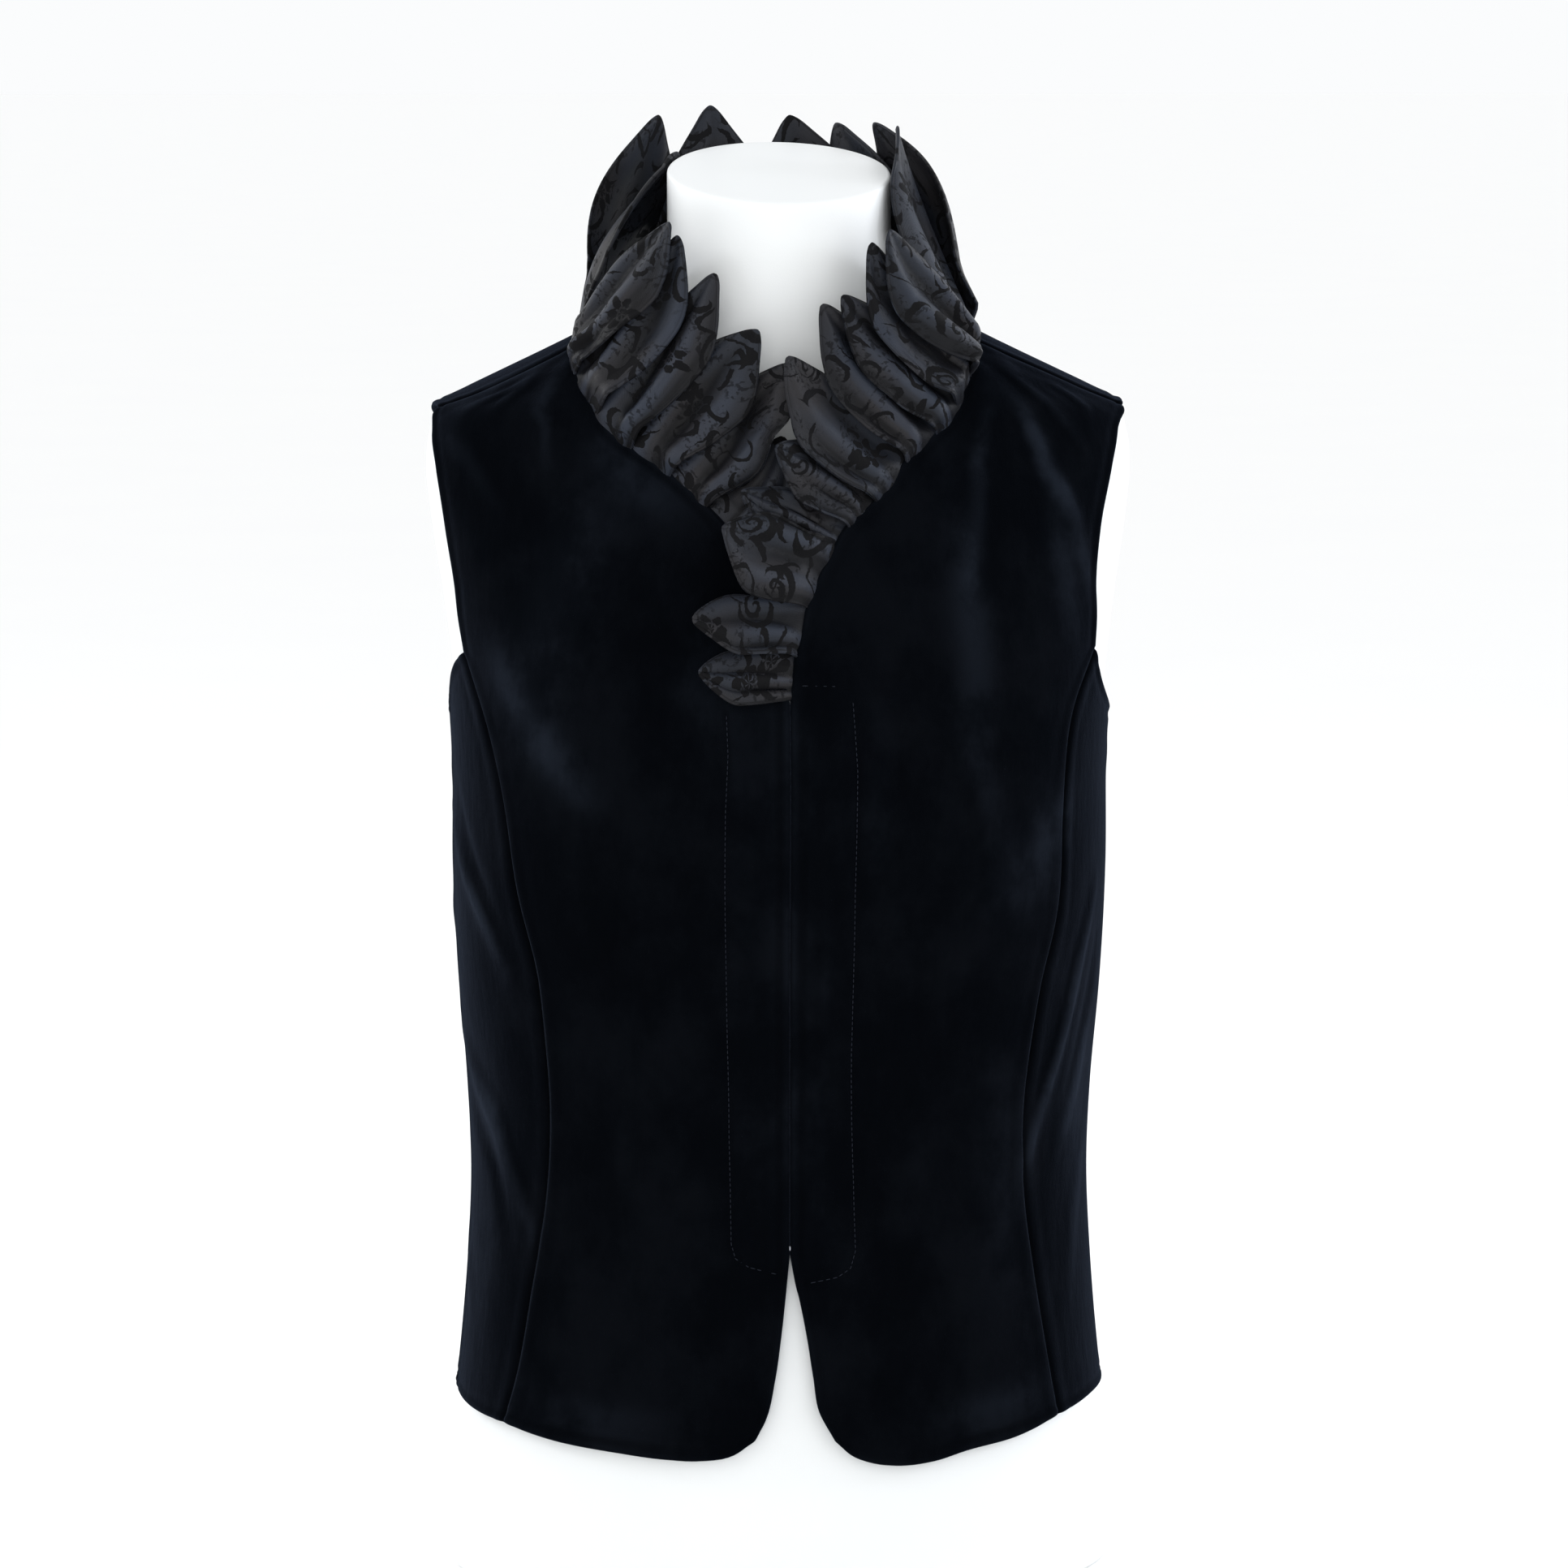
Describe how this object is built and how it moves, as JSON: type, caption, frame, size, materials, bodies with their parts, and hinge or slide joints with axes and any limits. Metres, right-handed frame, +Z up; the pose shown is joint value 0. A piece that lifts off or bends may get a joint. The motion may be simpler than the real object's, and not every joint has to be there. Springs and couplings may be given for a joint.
{
  "type": "sleeveless velvet vest on a limbless dress form",
  "caption": "Sleeveless velvet vest with princess seams and a standing collar of pointed damask leaves, worn by a plain white limbless dress form that stands on its flat foot.",
  "frame": {"origin": "Centre of the dress form's flat foot, on the surface it stands on.", "axes": "+Z is up, -Y is the front of the vest and +X is the wearer's left."},
  "size_m": [0.37, 0.2444, 0.7727],
  "materials": {
    "navy_black_velvet": "matte cotton velvet",
    "charcoal_damask_satin": "satin jacquard",
    "white_form_shell": "satin white shell"
  },
  "bodies": {
    "root": {"back": "navy_black_velvet", "dress_form": "white_form_shell", "leaf_left_01": "charcoal_damask_satin", "leaf_left_02": "charcoal_damask_satin", "leaf_left_03": "charcoal_damask_satin", "leaf_left_04": "charcoal_damask_satin", "leaf_left_05": "charcoal_damask_satin", "leaf_left_06": "charcoal_damask_satin", "leaf_left_07": "charcoal_damask_satin", "leaf_left_08": "charcoal_damask_satin", "leaf_left_09": "charcoal_damask_satin", "leaf_left_10": "charcoal_damask_satin", "leaf_left_11": "charcoal_damask_satin", "leaf_left_12": "charcoal_damask_satin", "leaf_left_13": "charcoal_damask_satin", "leaf_left_14": "charcoal_damask_satin", "leaf_right_06": "charcoal_damask_satin", "leaf_right_07": "charcoal_damask_satin", "leaf_right_08": "charcoal_damask_satin", "leaf_right_09": "charcoal_damask_satin", "leaf_right_10": "charcoal_damask_satin", "leaf_right_11": "charcoal_damask_satin", "leaf_right_12": "charcoal_damask_satin", "leaf_right_13": "charcoal_damask_satin", "leaf_right_14": "charcoal_damask_satin", "left_front": "navy_black_velvet", "left_side_front": "navy_black_velvet", "right_front": "navy_black_velvet", "right_side_front": "navy_black_velvet"}
  },
  "joints": []
}
